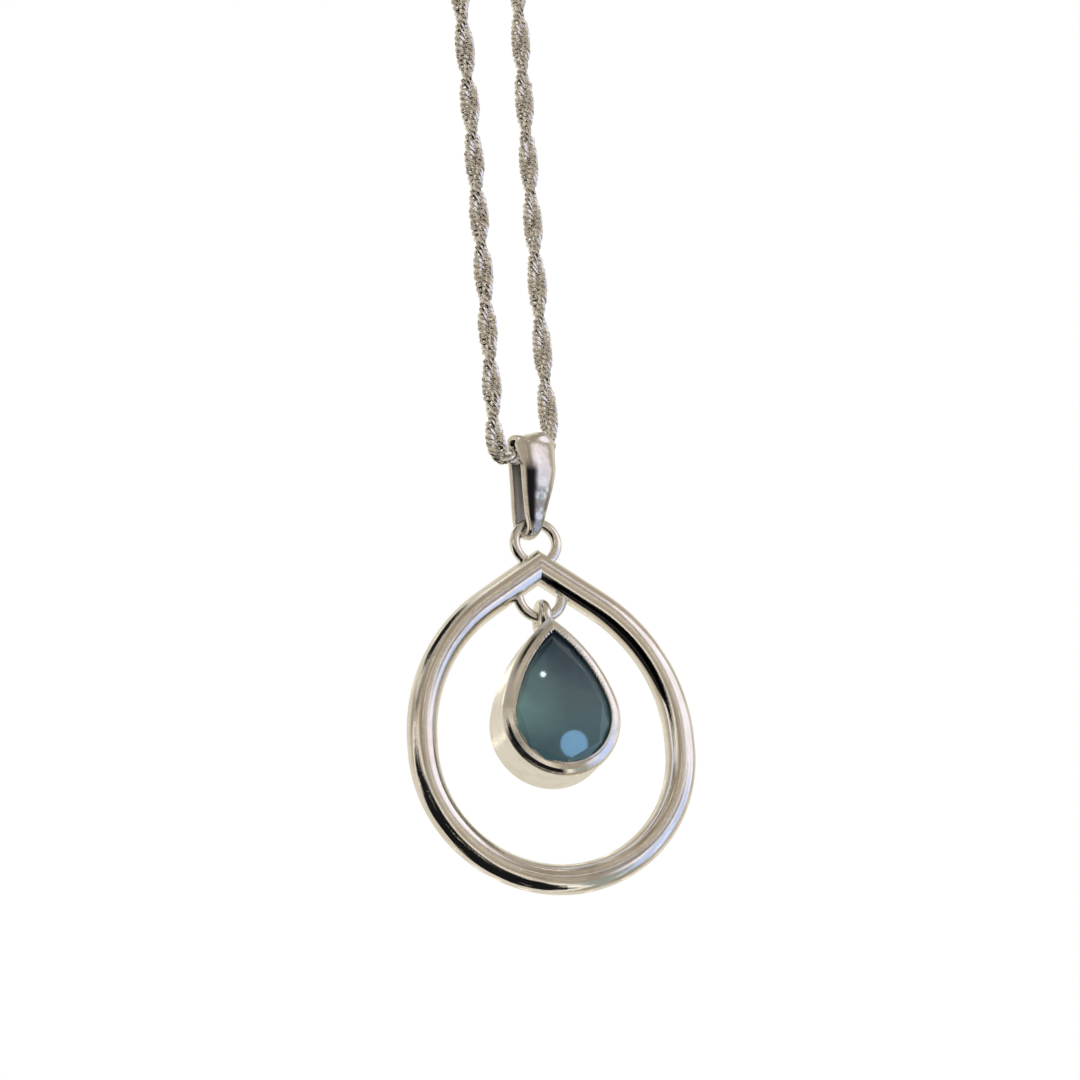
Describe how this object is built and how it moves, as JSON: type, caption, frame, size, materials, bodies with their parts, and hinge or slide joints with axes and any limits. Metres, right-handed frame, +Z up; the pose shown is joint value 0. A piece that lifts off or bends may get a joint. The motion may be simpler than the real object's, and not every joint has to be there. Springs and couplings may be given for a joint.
{
  "type": "pendant necklace",
  "caption": "Silver necklace hung by its folded chain: a twisted chain through a teardrop bail, a teardrop hoop below it, and a bezel-set faceted pear stone swinging inside the hoop.",
  "frame": {"origin": "the hook or peg that the necklace hangs from, at the centre of the top fold of the chain", "axes": "+Z up, -Y out of the pendant's front, +X to the viewer's right"},
  "size_m": [0.024, 0.0122, 0.1265],
  "materials": {
    "chain_silver": "bright, diamond-cut links",
    "bail_silver": "mirror polish outside, satin inside",
    "hoop_silver": "mirror polish",
    "ring_silver": "polished wire",
    "bezel_silver": "polished, softly rounded shoulder",
    "stone_crystal": "faceted, translucent blue-grey",
    "clasp_silver": "polished",
    "spring_steel": "plain spring wire",
    "tie_ribbon": "narrow white cotton ribbon"
  },
  "bodies": {
    "chain": {"chain_left_leg": "chain_silver", "chain_right_leg": "chain_silver", "chain_left_hank": "chain_silver", "chain_right_hank": "chain_silver", "chain_left_tail": "chain_silver", "chain_right_tail": "chain_silver", "hank_tie": "tie_ribbon", "chain_left_end_link": "chain_silver", "chain_right_end_link": "chain_silver"},
    "bail": {"bail": "bail_silver"},
    "hoop": {"hoop": "hoop_silver", "top_ring": "ring_silver", "drop_hanger_ring": "ring_silver"},
    "drop": {"drop_loop": "ring_silver", "bezel_cup": "bezel_silver", "bezel_seat": "bezel_silver", "stone": "stone_crystal"},
    "clasp_jump_ring": {"clasp_jump_ring": "clasp_silver"},
    "clasp": {"clasp_ring": "clasp_silver", "clasp_eyelet": "clasp_silver", "clasp_spring": "spring_steel"},
    "clasp_bolt": {"clasp_bolt": "clasp_silver"},
    "end_ring": {"end_ring": "clasp_silver"}
  },
  "joints": [
    {"name": "bail_swing", "type": "hinge", "parent": "chain", "child": "bail", "pos_m": [-0.00005, 0, -0.0832], "axis": [0.8988, 0.4384, 0], "range_deg": [-60, 60]},
    {"name": "hoop_swing", "type": "hinge", "parent": "bail", "child": "hoop", "pos_m": [0, 0, -0.08966], "axis": [1, 0, 0], "range_deg": [-35, 35]},
    {"name": "drop_swing", "type": "hinge", "parent": "hoop", "child": "drop", "pos_m": [0, 0, -0.09779], "axis": [1, 0, 0], "range_deg": [-60, 60]},
    {"name": "jump_ring_swing", "type": "hinge", "parent": "chain", "child": "clasp_jump_ring", "pos_m": [0.00655, -0.00226, -0.02861], "axis": [0.4384, -0.8988, 0], "range_deg": [-50, 50]},
    {"name": "clasp_swing", "type": "hinge", "parent": "clasp_jump_ring", "child": "clasp", "pos_m": [0.00655, -0.00226, -0.03081], "axis": [0.4384, -0.8988, 0], "range_deg": [-50, 50]},
    {"name": "clasp_bolt_draw", "type": "hinge", "parent": "clasp", "child": "clasp_bolt", "pos_m": [0.00655, -0.00226, -0.03486], "axis": [0.4384, -0.8988, 0], "range_deg": [-62, 0], "stiffness_Nm_per_rad": 0.001, "springref_deg": 28.65, "deforming": ["clasp_spring"]},
    {"name": "end_ring_swing", "type": "hinge", "parent": "chain", "child": "end_ring", "pos_m": [-0.00655, 0.00226, -0.02861], "axis": [0.8988, 0.4384, 0], "range_deg": [-12, 60]}
  ]
}
